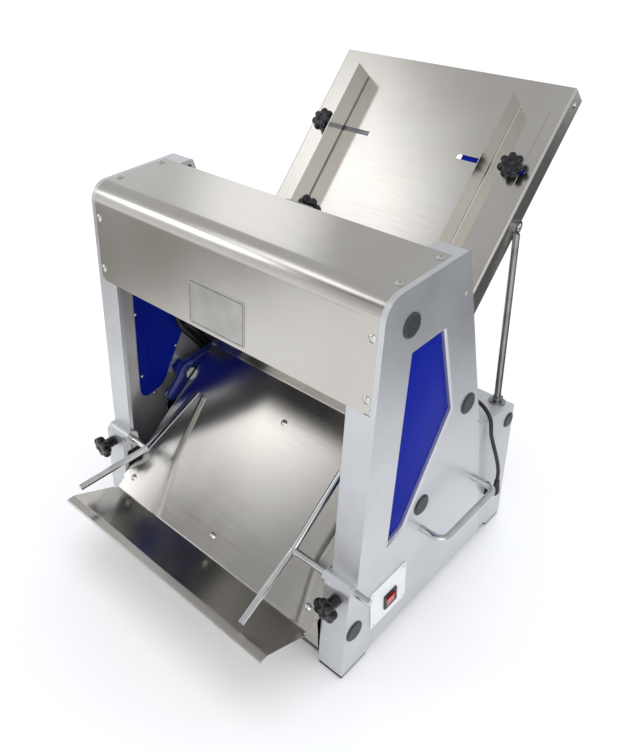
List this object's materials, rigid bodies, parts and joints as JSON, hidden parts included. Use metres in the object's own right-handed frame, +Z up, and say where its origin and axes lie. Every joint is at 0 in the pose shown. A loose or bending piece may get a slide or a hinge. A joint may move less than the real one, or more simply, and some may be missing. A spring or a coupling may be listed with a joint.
{
  "type": "bread slicer machine",
  "caption": "Bench bread slicer: side castings carry a sheet cover, a sloped infeed tray with fences, reciprocating blade frames and an outfeed chute with guide rods.",
  "frame": {"origin": "middle of the machine's floor plan, on the floor, measured without the cord", "axes": "+X to the side with the mains switch, +Y from the outfeed chute to the infeed tray, +Z up"},
  "size_m": [0.722, 0.8274, 0.7705],
  "materials": {
    "casting": "satin cast and sanded",
    "blue_panel": "gloss blue",
    "stainless": "brushed stainless",
    "bright_screw": "polished",
    "strut": "satin",
    "knob": "moulded black",
    "housing": "silver paint",
    "frame_steel": "plain mill finish",
    "bright_rod": "polished",
    "switch_plate": "white",
    "switch_bezel": "black",
    "red_rocker": "red, translucent look",
    "hole_plug": "black",
    "foot_rubber": "black",
    "machined_steel": "turned",
    "blade_frame": "ground",
    "blade": "polished",
    "rocker_paint": "gloss blue",
    "pulley": "turned",
    "motor_paint": "grey blue",
    "belt": "black",
    "loom": "black sleeve",
    "terminal_box": "dark grey",
    "cord": "black",
    "cord_fitting": "black"
  },
  "bodies": {
    "machine": {"side_frame_left": "casting", "side_frame_right": "casting", "window_panels": "blue_panel", "top_cover": "stainless", "cover_screws": "bright_screw", "infeed_tray": "stainless", "sheet_bolts": "bright_screw", "struts": "strut", "rear_rail": "frame_steel", "rear_panel": "housing", "base_housing": "housing", "base_plate": "frame_steel", "front_apron": "stainless", "outfeed_tray": "stainless", "chute_support": "frame_steel", "carry_handle_left": "bright_rod", "carry_handle_right": "bright_rod", "switch_plate": "switch_plate", "switch_bezel": "switch_bezel", "plug_caps": "hole_plug", "rubber_feet": "foot_rubber", "tie_bars": "frame_steel", "frame_bolts": "machined_steel", "pivot_spacers": "machined_steel", "crank_bearings": "frame_steel", "motor": "motor_paint", "drive_belt": "belt", "wiring_loom": "loom", "terminal_box": "terminal_box", "cable_gland": "cord_fitting", "power_cord": "cord", "cord_coil": "cord", "coil_tie": "cord_fitting", "mains_plug": "cord_fitting"},
    "fence_left": {"fence_left": "stainless"},
    "fence_right": {"fence_right": "stainless"},
    "fence_knob_left": {"fence_knob_left": "knob"},
    "fence_knob_right": {"fence_knob_right": "knob"},
    "press_plate": {"press_plate": "stainless"},
    "press_knob": {"press_knob": "knob"},
    "guide_left": {"guide_rod_left": "bright_rod"},
    "guide_right": {"guide_rod_right": "bright_rod"},
    "guide_knob_left": {"guide_knob_left": "knob"},
    "guide_knob_right": {"guide_knob_right": "knob"},
    "rocker_switch": {"rocker_switch": "red_rocker"},
    "blade_frame_a": {"blade_frame_a": "blade_frame", "blades_a": "blade", "blade_pins_a": "machined_steel"},
    "blade_frame_b": {"blade_frame_b": "blade_frame", "blades_b": "blade", "blade_pins_b": "machined_steel"},
    "rockers_lower_a": {"rockers_lower_a": "rocker_paint"},
    "rockers_lower_b": {"rockers_lower_b": "rocker_paint"},
    "rockers_upper_a": {"rockers_upper_a": "rocker_paint"},
    "rockers_upper_b": {"rockers_upper_b": "rocker_paint"},
    "con_rod_a": {"con_rod_a": "machined_steel"},
    "con_rod_b": {"con_rod_b": "machined_steel"},
    "crank": {"crankshaft": "machined_steel", "crank_pulley": "pulley"},
    "motor_pulley": {"motor_pulley": "pulley"}
  },
  "joints": [
    {"name": "fence_left_slide", "type": "slide", "parent": "machine", "child": "fence_left", "axis": [1, 0, 0], "range_m": [-0.014, 0.1]},
    {"name": "fence_right_slide", "type": "slide", "parent": "machine", "child": "fence_right", "axis": [1, 0, 0], "range_m": [-0.1, 0.014]},
    {"name": "fence_knob_left_turn", "type": "hinge", "parent": "fence_left", "child": "fence_knob_left", "pos_m": [-0.204, 0.2765, 0.66017], "axis": [0, -0.7071, 0.7071], "range_deg": [-180, 180]},
    {"name": "fence_knob_right_turn", "type": "hinge", "parent": "fence_right", "child": "fence_knob_right", "pos_m": [0.204, 0.2765, 0.66017], "axis": [0, -0.7071, 0.7071], "range_deg": [-180, 180]},
    {"name": "press_slide", "type": "slide", "parent": "machine", "child": "press_plate", "axis": [0, -0.2233, 0.9748], "range_m": [-0.006, 0.035]},
    {"name": "press_knob_turn", "type": "hinge", "parent": "machine", "child": "press_knob", "pos_m": [0, -0.0153, 0.63102], "axis": [0, 0.9748, 0.2233], "range_deg": [-180, 180]},
    {"name": "guide_left_slide", "type": "slide", "parent": "machine", "child": "guide_left", "axis": [1, 0, 0], "range_m": [-0.035, 0.025]},
    {"name": "guide_right_slide", "type": "slide", "parent": "machine", "child": "guide_right", "axis": [1, 0, 0], "range_m": [-0.045, 0.055]},
    {"name": "guide_knob_left_turn", "type": "hinge", "parent": "machine", "child": "guide_knob_left", "pos_m": [-0.288, -0.28317, 0.17], "axis": [0, -1, 0], "range_deg": [-180, 180]},
    {"name": "guide_knob_right_turn", "type": "hinge", "parent": "machine", "child": "guide_knob_right", "pos_m": [0.288, -0.28317, 0.17], "axis": [0, -1, 0], "range_deg": [-180, 180]},
    {"name": "rocker_switch_tip", "type": "hinge", "parent": "machine", "child": "rocker_switch", "pos_m": [0.3127, -0.17217, 0.094], "axis": [0, 1, 0], "range_deg": [-16, 0]},
    {"name": "blade_frame_a_slide", "type": "slide", "parent": "machine", "child": "blade_frame_a", "axis": [0, -0.1364, 0.9907], "range_m": [-0.018, 0.018]},
    {"name": "blade_frame_b_slide", "type": "slide", "parent": "machine", "child": "blade_frame_b", "axis": [0, -0.1364, 0.9907], "range_m": [-0.0181, 0.0181]},
    {"name": "rockers_lower_a_turn", "type": "hinge", "parent": "machine", "child": "rockers_lower_a", "pos_m": [0, -0.09317, 0.246], "axis": [1, 0, 0], "range_deg": [-12.5, 12.5]},
    {"name": "rockers_lower_b_turn", "type": "hinge", "parent": "machine", "child": "rockers_lower_b", "pos_m": [0, -0.09317, 0.246], "axis": [1, 0, 0], "range_deg": [-9.8, 9.8]},
    {"name": "rockers_upper_a_turn", "type": "hinge", "parent": "machine", "child": "rockers_upper_a", "pos_m": [0, -0.14302, 0.608], "axis": [1, 0, 0], "range_deg": [-12.5, 12.5]},
    {"name": "rockers_upper_b_turn", "type": "hinge", "parent": "machine", "child": "rockers_upper_b", "pos_m": [0, -0.14302, 0.608], "axis": [1, 0, 0], "range_deg": [-9.8, 9.8]},
    {"name": "con_rod_a_turn", "type": "hinge", "parent": "rockers_lower_a", "child": "con_rod_a", "pos_m": [0, -0.14052, 0.21426], "axis": [1, 0, 0], "range_deg": [-12.5, 12.5]},
    {"name": "con_rod_b_turn", "type": "hinge", "parent": "rockers_lower_b", "child": "con_rod_b", "pos_m": [0, -0.15363, 0.20546], "axis": [1, 0, 0], "range_deg": [-9.8, 9.8]},
    {"name": "crank_turn", "type": "hinge", "parent": "machine", "child": "crank", "pos_m": [0, -0.12815, 0.105], "axis": [1, 0, 0], "continuous": true},
    {"name": "motor_turn", "type": "hinge", "parent": "machine", "child": "motor_pulley", "pos_m": [0, 0.13183, 0.105], "axis": [1, 0, 0], "continuous": true}
  ],
  "couplings": [
    {"joint": "blade_frame_b_slide", "follows": "blade_frame_a_slide", "ratio": -1},
    {"joint": "rockers_lower_a_turn", "follows": "blade_frame_a_slide", "rad_per_m": 12.048},
    {"joint": "rockers_upper_a_turn", "follows": "blade_frame_a_slide", "rad_per_m": 12.048},
    {"joint": "rockers_lower_b_turn", "follows": "blade_frame_a_slide", "rad_per_m": -9.434},
    {"joint": "rockers_upper_b_turn", "follows": "blade_frame_a_slide", "rad_per_m": -9.434},
    {"joint": "con_rod_a_turn", "follows": "blade_frame_a_slide", "rad_per_m": -12.048},
    {"joint": "con_rod_b_turn", "follows": "blade_frame_a_slide", "rad_per_m": 9.434},
    {"joint": "motor_turn", "follows": "crank_turn", "ratio": 2.4167}
  ]
}
